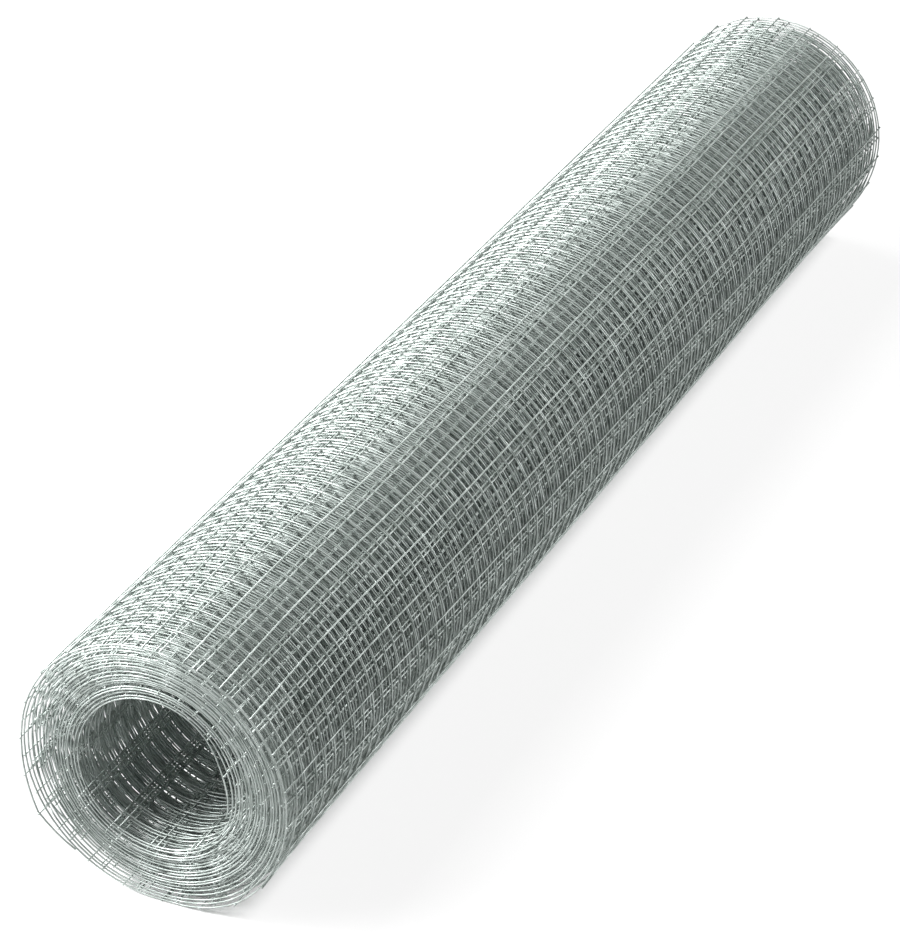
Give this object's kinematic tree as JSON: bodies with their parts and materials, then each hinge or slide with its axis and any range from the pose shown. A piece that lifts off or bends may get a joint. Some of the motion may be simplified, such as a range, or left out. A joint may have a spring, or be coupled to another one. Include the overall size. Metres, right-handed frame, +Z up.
{
  "type": "roll of welded wire mesh",
  "caption": "Roll of galvanised welded wire mesh fencing, wound in a spiral around an open bore and lying on its side, with the turns showing on both ends.",
  "frame": {"origin": "on the floor, under the middle of the lying roll", "axes": "+Y along the roll's axis, towards the end where the inner turns stand out; +Z up"},
  "size_m": [0.1768, 1.005, 0.1768],
  "materials": {
    "galvanised_wire": "galvanised after welding, dull zinc grey"
  },
  "bodies": {
    "root": {"mesh_roll": "galvanised_wire"}
  },
  "joints": []
}
